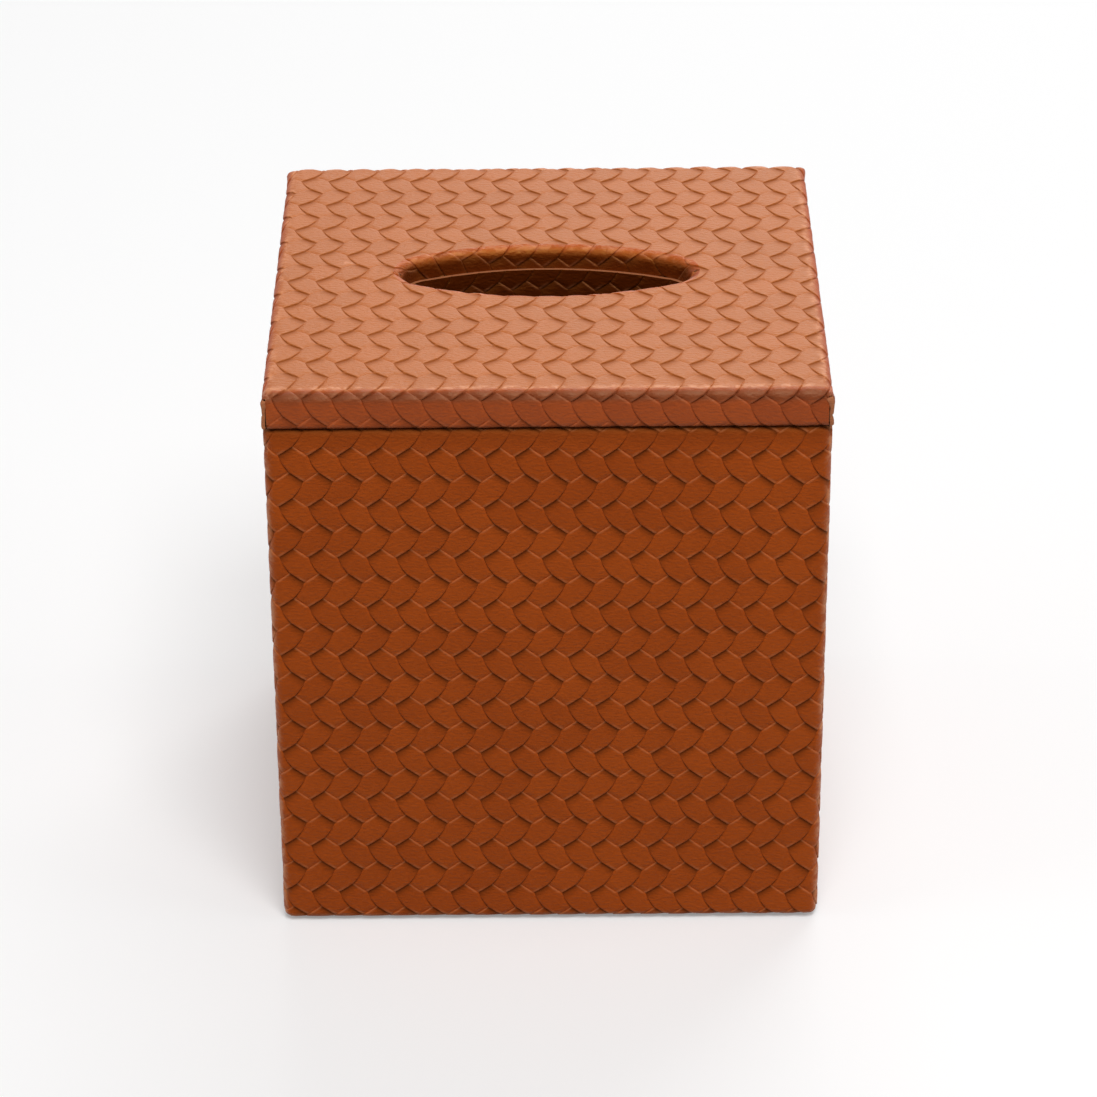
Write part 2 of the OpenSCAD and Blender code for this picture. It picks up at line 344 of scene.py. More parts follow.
# %% The leaf's outline
ZIGZAG = 0.18
LEAF_START, MIRROR_START, LEAF_SLANT = 0.07, 0.93, 0.36
LEAF = {
    "top_left": (LEAF_START, ZIGZAG),
    "top": (0.57, -ZIGZAG),
    "right": (1.07, ZIGZAG),
    "low_right": (1.43, 1 - ZIGZAG),
    "low": (0.93, 1 + ZIGZAG),
    "left": (0.43, 1 - ZIGZAG),
}
SIDE_BOW, LIP_BOW, END_BOW = 0.04, 0.01, 0.01


def bowed(start, end, bow):
    """A shallow arc between two corners, as a function from 0..1 to points."""
    start, end = np.array(LEAF[start]), np.array(LEAF[end])
    across = np.array([-(end - start)[1], (end - start)[0]])

    def arc(t):
        t = np.asarray(t)[..., None]
        return start + (end - start) * t + across * bow * 4 * t * (1 - t)

    return arc


def coons(left, right, near, far, w, t):
    """A patch between four edge arcs."""
    w1, t1 = w[..., None], t[..., None]
    corner = [near(np.zeros(1))[0], near(np.ones(1))[0], far(np.zeros(1))[0], far(np.ones(1))[0]]
    flat = (
        (1 - w1) * (1 - t1) * corner[0]
        + w1 * (1 - t1) * corner[1]
        + (1 - w1) * t1 * corner[2]
        + w1 * t1 * corner[3]
    )
    return (1 - w1) * left(t) + w1 * right(t) + (1 - t1) * near(w) + t1 * far(w) - flat


def leaf_point(w, t):
    """Where the grid's point (w across, t along) lies in the leaf, in pitches."""
    upper = coons(
        bowed("top_left", "left", SIDE_BOW),
        bowed("top", "right", -END_BOW),
        bowed("top_left", "top", LIP_BOW),
        bowed("left", "right", 0),
        w,
        np.clip(2 * t, 0, 1),
    )
    lower = coons(
        bowed("left", "low", LIP_BOW),
        bowed("right", "low_right", SIDE_BOW),
        bowed("left", "right", 0),
        bowed("low", "low_right", -END_BOW),
        w,
        np.clip(2 * t - 1, 0, 1),
    )
    return np.where((t < 0.5)[..., None], upper, lower)


print("leaf outline", len(LEAF), "corners")

# %% [markdown]
# ## The relief of one tile
# Each tile has three free edges that stand over its neighbours like a lip, and three that dive
# under theirs. Along a shared edge both tiles drop by the same step, so the sheet stays whole.
# The same distances from the edges say where shade is painted into the creases and where a
# highlight is painted on the lips.

# %% The leaf's relief
CROWN = 0.16
LIP_WIDTH = 0.011


def along_edge(x, start, end, middle):
    """A number along an edge, given at its two corners and its middle."""
    return start * (1 - x) + end * x + (middle - (start + end) / 2) * 4 * x * (1 - x)


# How far both tiles drop at an edge that they share, by the kind of edge.
def side_step(x):
    return along_edge(x, 0.60, 0.90, 0.70)


def low_step(x):
    return along_edge(x, 0.90, 0.60, 1.0)


def over_step(x):
    return along_edge(x, 0.90, 0.60, 0.66)


def lip(x, width=LIP_WIDTH):
    """The steep turned-down edge of a leaf that lies over its neighbour."""
    return np.exp(-x / width)


def tuck(x, reach):
    """The gentle slope of a leaf that dives under its neighbour."""
    return np.clip(1 - x / reach, 0, 1) ** 1.4


def leaf_form(w, t):
    """Over the leaf: its height, its painted shade in the creases and under the lips, its painted
    highlight on the lips, and a mask that is 0 on the outline. The step at an edge is the same from
    both of the leaves that share it."""
    upper, x = t < 0.5, np.where(t < 0.5, 2 * t, 2 * t - 1)
    left = np.where(upper, side_step(x), low_step(x))
    right = np.where(upper, over_step(x), side_step(x))
    top, bottom = low_step(1 - w), over_step(1 - w)
    crown = 1 - CROWN * (2 * w - 1) ** 2
    over = np.clip((0.54 - t) / 0.08, 0, 1)
    pinch = 0.03 + 0.22 * np.clip(x, 0, 1)
    fall = over * lip(1 - w) + (1 - over) * tuck(1 - w, pinch)
    ends = [(left, lip(w)), (right, fall), (top, tuck(t, 0.26)), (bottom, tuck(1 - t, 0.13))]
    height = crown - np.max([np.maximum(crown - (1 - step), 0) * f for step, f in ends], axis=0)
    thin = np.clip(1.5 * x - 0.2, 0, 1)
    # Painted shade: dark along the lips' feet and in a soft wedge where the leaf tucks under the
    # row above.
    shade = np.max([
        np.where(upper, thin, 1.0) * lip(w, 0.02),
        np.where(upper, 0, thin) * lip(1 - w, 0.05),
        np.maximum(np.clip(1.6 - t / 0.045, 0, 1), 0.9 * tuck(t, 0.34)),
        0.15 * lip(1 - t, 0.05),
    ], axis=0)
    # Painted highlight along the upper lips and at the lower tip, where they catch the light.
    lip_highlight = np.where(upper, 1.0, 0) * np.clip(1 - np.abs(1 - w - 0.035) / 0.045, 0, 1)
    tip = np.clip((t - 0.62) / 0.25, 0, 1) * np.clip(1 - np.abs(w - 0.09) / 0.09, 0, 1)
    lip_highlight = np.maximum(lip_highlight, 0.8 * tip)
    inner = 1 - np.max([lip(w, 0.03), lip(1 - w, 0.03), lip(t, 0.05), lip(1 - t, 0.05)], axis=0)
    for edge, step, dark in (
        (w == 0, left, np.where(upper, thin, 1.0)),
        (w == 1, right, np.where(upper, 0.12, thin)),
        (t == 0, top, 1.0 + 0 * w),
        (t == 1, bottom, 0.12 + 0 * w),
    ):
        height = np.where(edge, 1 - step, height)
        shade = np.where(edge, dark, shade)
        lip_highlight = np.where(edge, 0, lip_highlight)
        inner = np.where(edge, 0, inner)
    return height, np.clip(shade, 0, 1), lip_highlight, inner


print("leaf relief, crown", CROWN)

# %% [markdown]
# ## The pair of tiles
# A grid is added for each tile, one of them mirrored. Its rows of faces crowd towards the edges,
# where the lip turns down steeply. The outer points of a tile lie on those of its neighbours, so
# that an array can weld the tiles into one sheet.

# %% The pair of tiles
ACROSS = np.array([0, 0.022, 0.05, 0.1, 0.2, 0.4, 0.6, 0.78, 0.88, 0.94, 0.978, 1.0])
ALONG = np.array([0, 0.05, 0.14, 0.27, 0.42, 0.6, 0.8, 1.0])


def leaf_tile(name, mirrored):
    """One tile as a mesh, a pitch wide and high, with the numbers that its points carry."""
    bpy.ops.object.select_all(action="DESELECT")
    across_n, along_n = len(ACROSS) - 1, 2 * (len(ALONG) - 1)
    bpy.ops.mesh.primitive_grid_add(x_subdivisions=across_n, y_subdivisions=along_n, size=2)
    tile = bpy.context.active_object
    tile.name = name
    co = points(tile)
    along_steps = np.concatenate([ALONG / 2, 1 - ALONG[-2::-1] / 2])
    across = ACROSS[np.rint((co[:, 0] + 1) / 2 * across_n).astype(int)]
    along = along_steps[np.rint((co[:, 1] + 1) / 2 * along_n).astype(int)]
    uv = leaf_point(across, along)
    if mirrored:
        uv = uv * [-1, 1] + [1, 1]
    height, shade, lip_highlight, inner = leaf_form(across, along)
    place_points(tile, np.column_stack([uv, height]))
    set_attribute(tile, "crease_shade", shade)
    set_attribute(tile, "lip_highlight", lip_highlight)
    set_attribute(tile, "inner", inner)
    set_attribute(tile, "puff", 16 * across * (1 - across) * along * (1 - along))
    return tile


left_leaf, right_leaf = leaf_tile("leaf_left", False), leaf_tile("leaf_right", True)
activate(right_leaf)
bpy.ops.object.mode_set(mode="EDIT")
bpy.ops.mesh.select_all(action="SELECT")
bpy.ops.mesh.flip_normals()
bpy.ops.object.mode_set(mode="OBJECT")
left_leaf.select_set(True)
bpy.context.view_layer.objects.active = left_leaf
bpy.ops.object.join()
leaf_pair = bpy.context.active_object
leaf_pair.name = "leaf_pair"
print("leaf pair", len(leaf_pair.data.polygons), "faces")

# %% [markdown]
# ## A sheet of woven leather
# The pair is repeated by two Array modifiers that weld their copies, and laid out at the pitch,
# turn and slant that the real sheet shows: the leather was glued a degree off square. No two real
# tiles are quite alike, so each gets its own tone and a slightly different height.

# %% Laying out a flat sheet
TONE_GRID = (97, 89)
WELD = 1e-4
rng = np.random.default_rng(7)
tile_tones = rng.random(TONE_GRID)
tile_heights = 0.22 * rng.random(TONE_GRID) - 0.14


def zigzag(k, u):
    """Height of the row boundary number k at u, about its mean."""
    phase = np.where(k % 2 == 0, u - LEAF_START, u - MIRROR_START)
    return ZIGZAG * (4 * np.abs((phase % 1) - 0.5) - 1)


def tile_of(u, v):
    """Row and column of the tile that holds each point."""
    row = np.floor(v).astype(int)
    row -= v < row + zigzag(row, u)
    row += v >= row + 1 + zigzag(row + 1, u)
    slant = LEAF_SLANT * (v - row - ZIGZAG) / (1 - 2 * ZIGZAG)
    left, right = np.floor(u - LEAF_START - slant), np.floor(u - MIRROR_START + slant)
    return row, np.where(row % 2 == 0, left, right).astype(int)


def repeat(sheet, count, offset):
    """Repeats a sheet by an Array modifier that welds its copies."""
    array = sheet.modifiers.new("repeat", "ARRAY")
    array.use_relative_offset, array.use_constant_offset = False, True
    array.constant_offset_displace, array.count = offset, count
    array.use_merge_vertices, array.merge_threshold = True, WELD
    bpy.ops.object.modifier_apply(modifier=array.name)


def trim(place, normal):
    """Cuts the active sheet along a plane and drops what lies past it."""
    bpy.ops.object.mode_set(mode="EDIT")
    bpy.ops.mesh.select_all(action="SELECT")
    bpy.ops.mesh.bisect(plane_co=place, plane_no=normal, clear_outer=True)
    bpy.ops.object.mode_set(mode="OBJECT")


def flat_sheet(name, lattice, low, high):
    """A flat sheet over the rectangle low..high. Its z holds the tiles' height in the relief. The
    lattice is where the first tile starts, the pitch across and down, and two slants."""
    x0, y0, px, py, sx, sy = lattice
    to_flat = np.array([[px, sy * px], [sx * py, -py]])
    corners = np.array([(x, y) for x in (low[0], high[0]) for y in (low[1], high[1])])
    uv = (corners - [x0, y0]) @ np.linalg.inv(to_flat) + [LEAF_START, 0]
    u_low, v_low = np.floor(uv.min(0)) - 2
    v_low -= v_low % 2
    u_high, v_high = np.ceil(uv.max(0)) + 1
    activate(leaf_pair)
    bpy.ops.object.duplicate()
    sheet = bpy.context.active_object
    sheet.name = name
    repeat(sheet, int(u_high - u_low), (1, 0, 0))
    repeat(sheet, int(v_high - v_low) // 2 + 1, (0, 2, 0))
    co = points(sheet)
    u, v = co[:, 0] + u_low, co[:, 1] + v_low
    row, col = tile_of(u, v)
    pick = (row % TONE_GRID[0], col % TONE_GRID[1])
    flat = (np.column_stack([u - LEAF_START, v]) @ to_flat) + [x0, y0]
    inner = get_attribute(sheet, "inner")
    place_points(sheet, np.column_stack([flat, co[:, 2] + inner * tile_heights[pick]]))
    set_attribute(sheet, "tone", 0.5 + inner * (tile_tones[pick] - 0.5))
    for blank in ("raw", "edge", "gap_shade"):
        set_attribute(sheet, blank, 0 * u)
    trim((low[0], 0, 0), (-1, 0, 0))
    trim((high[0], 0, 0), (1, 0, 0))
    trim((0, low[1], 0), (0, -1, 0))
    trim((0, high[1], 0), (0, 1, 0))
    return sheet


print("tile tones", tile_tones.shape)

# %% [markdown]
# ## Cutting and wrapping a sheet
# The sheet is cut to its curved outline in the flat, as a maker would cut it, gets its thickness
# where the cut shows, and is then wrapped: a function takes each point from the flat to its face,
# and the tile's height goes along the face's normal. So the pattern bends round an edge without
# stretching, as leather does.

# %% Cutting and wrapping
RELIEF = 0.42
LEATHER_T, CUT_ROUND = 1.0, 0.12
ON_LINE = 1e-4


def cut_away(obj, outside):
    """Trims a flat sheet along the line where outside(x, y) changes sign, and drops what is > 0."""
    mesh = bmesh.new()
    mesh.from_mesh(obj.data)
    mesh.verts.ensure_lookup_table()
    co = np.array([v.co for v in mesh.verts])
    side = outside(co[:, 0], co[:, 1])
    side[np.abs(side) < ON_LINE] = 0
    value = {v: side[i] for i, v in enumerate(mesh.verts)}
    for edge in list(mesh.edges):
        a, b = edge.verts
        if value[a] * value[b] < 0:
            share = value[a] / (value[a] - value[b])
            value[bmesh.utils.edge_split(edge, a, share)[1]] = 0.0
    for face in list(mesh.faces):
        on_line = [v for v in face.verts if value[v] == 0]
        if len(on_line) == 2 and any(value[v] > 0 for v in face.verts):
            if any(value[v] < 0 for v in face.verts):
                bmesh.utils.face_split(face, *on_line)
    gone = [f for f in mesh.faces if sum(value[v] for v in f.verts) > 0]
    bmesh.ops.delete(mesh, geom=gone, context="FACES")
    mesh.to_mesh(obj.data)
    mesh.free()


def raw_edges(obj, on_cut):
    """Gives the sheet its thickness where it was cut and the cut shows: a wall from the surface
    down to the sheet's back, in the flat, where height is in units of the relief."""
    mesh = bmesh.new()
    mesh.from_mesh(obj.data)
    raw = mesh.verts.layers.float["raw"]
    edges = [e for e in mesh.edges if e.is_boundary and all(on_cut(*v.co[:2]) for v in e.verts)]
    for depth, share in ((CUT_ROUND, 1.0), (LEATHER_T, 0.7)):
        rounding = depth == CUT_ROUND
        for e in edges:
            e.smooth = not rounding
        below = {}
        for v in (v for e in edges for v in e.verts):
            if v not in below:
                z = v.co.z - depth / RELIEF if rounding else 1 - depth / RELIEF
                below[v] = mesh.verts.new((v.co.x, v.co.y, z), v)
                below[v][raw] = share
        for loop in [e.link_loops[0] for e in edges]:
            a, b = loop.vert, loop.link_loop_next.vert
            mesh.faces.new((b, a, below[a], below[b]))
        edges = [mesh.edges.get([below[v] for v in e.verts]) for e in edges]
    mesh.to_mesh(obj.data)
    mesh.free()


def wrap(obj, surface):
    """Takes a flat sheet to its place: surface gives each point's foot, normal and relief share."""
    co = points(obj)
    foot, normal, share = surface(co[:, 0], co[:, 1])
    height = (co[:, 2] - 1) * RELIEF * share
    place_points(obj, (foot + normal * height[:, None]) * MM)


def finish_piece(obj, body, material, node):
    """Smooth faces, a material, and the piece's place in the assembly."""
    for polygon in obj.data.polygons:
        polygon.use_smooth = True
    obj.data.materials.clear()
    obj.data.materials.append(material)
    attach(obj, body)
    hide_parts(node)
    triangles = sum(len(p.vertices) - 2 for p in obj.data.polygons)
    print(obj.name, triangles, "triangles")


print("relief", RELIEF, "mm")

# %% [markdown]
# ## The way round the body
# On the flat sheet x runs round the girth from the middle of the front, and y is the height, going
# on over the rim and under the foot. Two functions unroll that: one for the rounded corners seen
# from above, one for the section up a wall and over its rim.

# %% The body's surface
CORNER_R, RIM_R, FOLD_R = 2.8, 1.8, 0.6
RIM_W = 6.6
RIM_INSIDE = RIM_W - CORNER_R
RIM_FLAT = CORNER_R - RIM_R + RIM_INSIDE - FOLD_R
RIM_RELIEF = 0.45
AXIS_W, AXIS_D = COVER_W / 2 - CORNER_R, COVER_D / 2 - CORNER_R
BEND = QUARTER * CORNER_R
MITRE_GAP = 0.15


def girth(s):
    """The corner axis and the outward direction at a distance s round the body."""
    s = np.asarray(s, float)
    flats = [2 * AXIS_W, 2 * AXIS_D, 2 * AXIS_W, 2 * AXIS_D]
    axis = np.zeros((len(s), 2))
    turn = np.zeros(len(s))
    start = -AXIS_W
    corners = [(-AXIS_W, -AXIS_D), (AXIS_W, -AXIS_D), (AXIS_W, AXIS_D), (-AXIS_W, AXIS_D)]
    whole = sum(flats) + 4 * BEND
    s = (s - start) % whole + start
    for k in range(4):
        a, b = np.array(corners[k]), np.array(corners[(k + 1) % 4])
        along = s - start
        on_flat = (along >= 0) & (along <= flats[k])
        axis[on_flat] = a + (b - a) * (along[on_flat] / flats[k])[:, None]
        turn[on_flat] = k * QUARTER
        on_bend = (along > flats[k]) & (along < flats[k] + BEND)
        axis[on_bend] = b
        turn[on_bend] = k * QUARTER + (along[on_bend] - flats[k]) / CORNER_R
        start += flats[k] + BEND
    return axis, np.column_stack([np.sin(turn), -np.cos(turn)])


def upright(t):
    """The section up the wall: distance out from the corner axis, height, and their normal."""
    low, high = FOOT_Z + RIM_R, RIM_Z - RIM_R
    arc = QUARTER * RIM_R
    out, z = np.full(len(t), CORNER_R), t.copy()
    n_out, n_z = np.ones(len(t)), np.zeros(len(t))
    angle = np.clip((t - high) / RIM_R, 0, QUARTER)
    on = t > high
    out[on] = (CORNER_R - RIM_R + RIM_R * np.cos(angle))[on]
    z[on] = (high + RIM_R * np.sin(angle))[on]
    n_out[on], n_z[on] = np.cos(angle)[on], np.sin(angle)[on]
    past = t - high - arc
    on = past > 0
    out[on] = (CORNER_R - RIM_R - np.minimum(past, RIM_FLAT))[on]
    over = past - RIM_FLAT
    angle = np.clip(over / FOLD_R, 0, QUARTER)
    on = over > 0
    out[on] -= (FOLD_R * np.sin(angle))[on]
    z[on] = (RIM_Z - FOLD_R * (1 - np.cos(angle)) - np.maximum(over - FOLD_R * QUARTER, 0))[on]
    n_out[on], n_z[on] = -np.sin(angle)[on], np.cos(angle)[on]
    angle = np.clip((low - t) / RIM_R, 0, QUARTER)
    on = t < low
    out[on] = (CORNER_R - RIM_R + RIM_R * np.cos(angle) - np.maximum(low - t - arc, 0))[on]
    z[on] = (low - RIM_R * np.sin(angle))[on]
    n_out[on], n_z[on] = np.cos(angle)[on], -np.sin(angle)[on]
    return out, z, n_out, n_z


def wall_surface(s, t):
    """Where a point of the body's sheet goes: its foot, its normal and its share of relief."""
    axis, way = girth(s)
    out, z, n_out, n_z = upright(t)
    foot = np.column_stack([axis + way * out[:, None], z])
    normal = np.column_stack([way * n_out[:, None], n_z])
    share = np.where(t > RIM_Z + 1, RIM_RELIEF, 1.0)
    return foot, normal, share


def mitred(middle, half, bend_left, bend_right):
    """What lies outside a piece of the wrap: past its ends, or past its turned edges' mitres."""

    def outside(s, t):
        out = upright(t)[0]
        along = s - middle
        end = np.where(along < 0, half + bend_left, half + bend_right)
        reach = np.where(out < 0, half + out - MITRE_GAP, end)
        return np.abs(along) - reach

    return outside


print("girth", 4 * (AXIS_W + AXIS_D + BEND), "mm")

# %% [markdown]
# ## The body's wrap
# One sheet goes round the body, with the seam at the back. It is modelled in five pieces, so that
# no mesh grows too heavy: the front with both rounded corners, the two sides, and the two halves
# of the back that meet in the butt seam. The turned edges are mitred, as they are on real covers,
# because a folded corner would be four sheets thick.

# %% Wrapping the body
FRONT_LATTICE = (-66.327, 140.32, 7.2675, 7.213, -0.0259, -0.0129)
TURNED_IN, TURNED_UNDER = 4, 4.5
SEAM, LAP = 0.15, 0.5
TOP_T = RIM_Z - RIM_R + QUARTER * RIM_R + RIM_FLAT + FOLD_R * QUARTER + TURNED_IN
LOW_T = FOOT_Z + RIM_R - QUARTER * RIM_R - TURNED_UNDER
side_middle = AXIS_W + BEND + AXIS_D
back_middle = AXIS_W + 2 * BEND + 2 * AXIS_D + AXIS_W
seam_at = back_middle - SEAM
corner_bends = [AXIS_W + 0.7 * BEND, AXIS_W + 1.3 * BEND + 2 * AXIS_D]
wrap_plan = {
    "body_front": (0, AXIS_W, BEND + LAP, BEND + LAP),
    "body_right": (side_middle, AXIS_D, -LAP, BEND + LAP),
    "body_left": (-side_middle, AXIS_D, BEND + LAP, -LAP),
    "body_back_right": (back_middle, AXIS_W, -LAP, 0),
    "body_back_left": (-back_middle, AXIS_W, 0, -LAP),
}
for name, (middle, half, bend_left, bend_right) in wrap_plan.items():
    low_s, high_s = middle - half - bend_left, middle + half + bend_right
    low_s, high_s = max(low_s, -seam_at), min(high_s, seam_at)
    piece = flat_sheet(name, FRONT_LATTICE, (low_s, LOW_T), (high_s, TOP_T))
    cut_away(piece, mitred(middle, half, bend_left, bend_right))
    raw_edges(piece, lambda s, t: abs(abs(s) - seam_at) < 0.01)
    flat = points(piece)
    over_rim = flat[:, 1] - RIM_Z + RIM_R
    outer_rim = 1 - eased((over_rim - 3.2) / 1.5)
    # Painted shade in the gap under the lid's edge.
    set_attribute(piece, "gap_shade", 0.5 * eased((over_rim - 0.7) / 1.3) * outer_rim)
    # Painted shade over the top of the wall, under the lid.
    shaded = 0.28 * eased((over_rim + 4.0) / 2.0) + 0.32 * eased((over_rim + 1.5) / 2.5)
    set_attribute(piece, "crease_shade", np.maximum(get_attribute(piece, "crease_shade"), shaded))
    # Pale wear with a painted highlight along the corner bends and at the foot.
    off_bend = np.min([np.abs(np.abs(flat[:, 0]) - bend) for bend in corner_bends], axis=0)
    off_foot = np.abs(flat[:, 1] - FOOT_Z - 0.6)
    edge_wear_and_highlight = np.maximum(1 - eased(off_bend / 2.0), 0.5 * (1 - eased(off_foot / 1.2)))
    set_attribute(piece, "edge", edge_wear_and_highlight)
    wrap(piece, wall_surface)
    finish_piece(piece, "box", leather, "body_leather")

# %% [markdown]
# ## The lid's edges
# The lid's leather covers its top and turns down over all four edges and under them. The section
# over an edge is a round fold, a short wall and a small round foot. At a corner the leather is
# drawn round like a cone, which fades into the flat folds on both sides.

# %% The lid's surface
EDGE_R, LID_FOOT_R, LID_CLEAR = 2.5, 1.2, 0.12
LID_H = LID_Z - RIM_Z
LID_WALL = LID_H - EDGE_R - LID_FOOT_R - LID_CLEAR
FLAT_X, FLAT_Y = COVER_W / 2 - EDGE_R, COVER_D / 2 - EDGE_R
UNDER_START = QUARTER * EDGE_R + LID_WALL + QUARTER * LID_FOOT_R
UNDER_RELIEF = 0.5


def fold(a):
    """The lid's edge section at a distance a past the fold's start: out, drop and their normal."""
    a = np.asarray(a, float)
    angle = np.clip(a / EDGE_R, 0, QUARTER)
    out = np.where(a < 0, a, EDGE_R * np.sin(angle))
    drop = EDGE_R * (1 - np.cos(angle))
    n_out, n_up = np.sin(angle), np.cos(angle)
    wall = a - QUARTER * EDGE_R
    drop = drop + np.clip(wall, 0, LID_WALL)
    foot = wall - LID_WALL
    angle = np.clip(foot / LID_FOOT_R, 0, QUARTER)
    on = foot > 0
    out = np.where(on, EDGE_R - LID_FOOT_R * (1 - np.cos(angle)), out)
    out = out - np.maximum(foot - QUARTER * LID_FOOT_R, 0)
    drop = np.where(on, EDGE_R + LID_WALL + LID_FOOT_R * np.sin(angle), drop)
    n_out, n_up = np.where(on, np.cos(angle), n_out), np.where(on, -np.sin(angle), n_up)
    return out, drop, n_out, n_up


def lid_surface(x, y):
    """Where a point of the lid's sheet goes: its foot, its normal and its share of relief."""
    a, b = np.abs(x) - FLAT_X, np.abs(y) - FLAT_Y
    out_x, drop_x, nx, ux = fold(a)
    out_y, drop_y, ny, uy = fold(b)
    corner = (a > 0) & (b > 0)
    reach = np.hypot(a, b) + 1e-9
    out_r, drop_r, nr, ur = fold(reach)
    past = np.maximum(a, b)
    far = eased(past / (QUARTER * EDGE_R))
    side = a > b
    ox = np.where(side, out_x, a)
    oy = np.where(side, b, out_y)
    drop = np.where(side, drop_x, drop_y)
    flap_n = [np.where(side, nx, 0), np.where(side, 0, ny), np.where(side, ux, uy)]
    cone_n = np.column_stack([nr * a / reach, nr * b / reach, ur])
    mixed = far[:, None] * np.column_stack(flap_n) + (1 - far[:, None]) * cone_n
    ox = np.where(corner, far * ox + (1 - far) * out_r * a / reach, out_x)
    oy = np.where(corner, far * oy + (1 - far) * out_r * b / reach, out_y)
    drop = np.where(corner, far * drop + (1 - far) * drop_r, drop_x + drop_y)
    plain = np.column_stack([nx, ny, np.where(a > 0, ux, uy)])
    normal = np.where(corner[:, None], mixed, plain)
    normal /= np.linalg.norm(normal, axis=1)[:, None]
    normal[:, 0] *= np.sign(x)
    normal[:, 1] *= np.sign(y)
    foot = np.column_stack([np.sign(x) * (FLAT_X + ox), np.sign(y) * (FLAT_Y + oy), LID_Z - drop])
    share = 1 + 0.9 * eased((b + 0.5) / 1.5) * (1 - eased((past - 3.6) / 2.0))
    share = np.where(past > QUARTER * EDGE_R + LID_H - EDGE_R, UNDER_RELIEF, share)
    return foot, normal, share


print("lid wall", LID_WALL, "mm between its folds")

# %% [markdown]
# ## The oval and the cuts in the lid's sheet
# The oval is four tangent arcs, two flat ones and two tight ones at its tips. A maker cuts it
# smaller than the opening and rolls the edge in. The corners of the sheet are cut away, so that
# the front and back flaps lie between the side flaps, and the parts under the lid are mitred.

# %% The lid's cuts
OPEN_BACK, END_X, END_R, SIDE_R, SIDE_Y, OPEN_RIM_R = 2.0, 30.0, 7.0, 85.0, 72.0, 2.5
OVAL_TIP = END_X + END_R + OPEN_RIM_R
FLAP_UNDER, CORNER_CUT = 9.0, 1.15
FLAP = UNDER_START + FLAP_UNDER
FLAP_SIDE = COVER_W / 2 - CORNER_CUT
NOT_HERE = -9  # so far inside that it never counts


def oval_half(x):
    """Half the width of the oval's rim line at x, and the line's outward direction."""
    rim_end, rim_side = END_R + OPEN_RIM_R, SIDE_R + OPEN_RIM_R
    join = END_X * (1 + rim_end / math.hypot(END_X, SIDE_Y))
    ax = np.minimum(np.abs(x), END_X + rim_end)
    on_side = ax < join
    side_y = np.sqrt(np.maximum(rim_side**2 - ax**2, 0)) - SIDE_Y
    end_y = np.sqrt(np.maximum(rim_end**2 - (ax - END_X) ** 2, 0))
    y = np.where(on_side, side_y, end_y)
    way_x = np.where(on_side, ax / rim_side, (ax - END_X) / rim_end) * np.sign(x)
    way_y = np.where(on_side, (y + SIDE_Y) / rim_side, y / rim_end)
    return y, way_x, way_y


def inside_rim(x, y):
    """How far inside the oval's rim line a point lies. Each arc holds the sector that it spans."""
    ax, ay = np.abs(x), np.abs(y - OPEN_BACK)
    at_end = ax * SIDE_Y > (ay + SIDE_Y) * END_X
    to_end = END_R + OPEN_RIM_R - np.hypot(ax - END_X, ay)
    to_side = SIDE_R + OPEN_RIM_R - np.hypot(ax, ay + SIDE_Y)
    return np.where(at_end, to_end, to_side)


def lid_outside(x, y):
    """Above 0 in the oval, in the corners that are cut away and past the mitres."""
    ax, ay = np.abs(x), np.abs(y)
    corner = np.minimum(ax - FLAP_SIDE, ay - COVER_D / 2)
    under_x = np.maximum(ax - FLAT_X - UNDER_START, 0)
    under_y = np.maximum(ay - FLAT_Y - UNDER_START, 0)
    round_foot = LID_FOOT_R * np.clip((ax - FLAT_X - UNDER_START) / 1.9 + 1, 0, 1)
    side_end = np.where(under_x > 0, ay - (COVER_D / 2 - round_foot - under_x), NOT_HERE)
    front_end = np.where(under_y > 0, ax - (FLAP_SIDE - under_y), NOT_HERE)
    past_flap = ay - FLAT_Y - FLAP
    return np.max([inside_rim(x, y), corner, past_flap, side_end, front_end], axis=0)


def on_corner_cut(x, y):
    """Whether a point lies on the cut at a corner, which shows."""
    at_side = abs(abs(x) - FLAP_SIDE) < 0.02 and abs(y) > COVER_D / 2 - 0.5
    return at_side or (abs(abs(y) - COVER_D / 2) < 0.02 and abs(x) > COVER_W / 2 - 1.5)


print("oval", 2 * OVAL_TIP, "mm wide at its rim line")

# %% [markdown]
# ## The lid's sheet
# The sheet was pulled tight over the front edge, which draws its last rows out by 2 mm and puffs
# up the tiles that lie on the fold. The top gets painted light that makes it paler, the front fold
# gets pale wear with a painted highlight above and painted shade below, and one small scuff lies
# left of the opening.

# %% Wrapping the lid
LID_LATTICE = (-66.604, -1.98, 7.2981, 7.5452, -0.0127, -0.0217)
FRONT_PULL, PULL_START, PULL_RUN = 2.3, 57.0, 7.0
SCUFF_AT, SCUFF_SIZE = (-52.6, 7.1), (1.9, 0.9)
PUFF = 0.34

lid_sheet = flat_sheet(
    "lid_wrap", LID_LATTICE, (-FLAT_X - FLAP, -FLAT_Y - FLAP), (FLAT_X + FLAP, FLAT_Y + FLAP)
)
co = points(lid_sheet)
co[:, 1] -= FRONT_PULL * eased((-PULL_START - co[:, 1]) / PULL_RUN)
place_points(lid_sheet, co)
cut_away(lid_sheet, lid_outside)
raw_edges(lid_sheet, on_corner_cut)
co = points(lid_sheet)
past_x, past_y = np.abs(co[:, 0]) - FLAT_X, np.abs(co[:, 1]) - FLAT_Y
past, front_past = np.maximum(past_x, past_y), -co[:, 1] - FLAT_Y
foot_start = QUARTER * EDGE_R + LID_H - EDGE_R - LID_FOOT_R
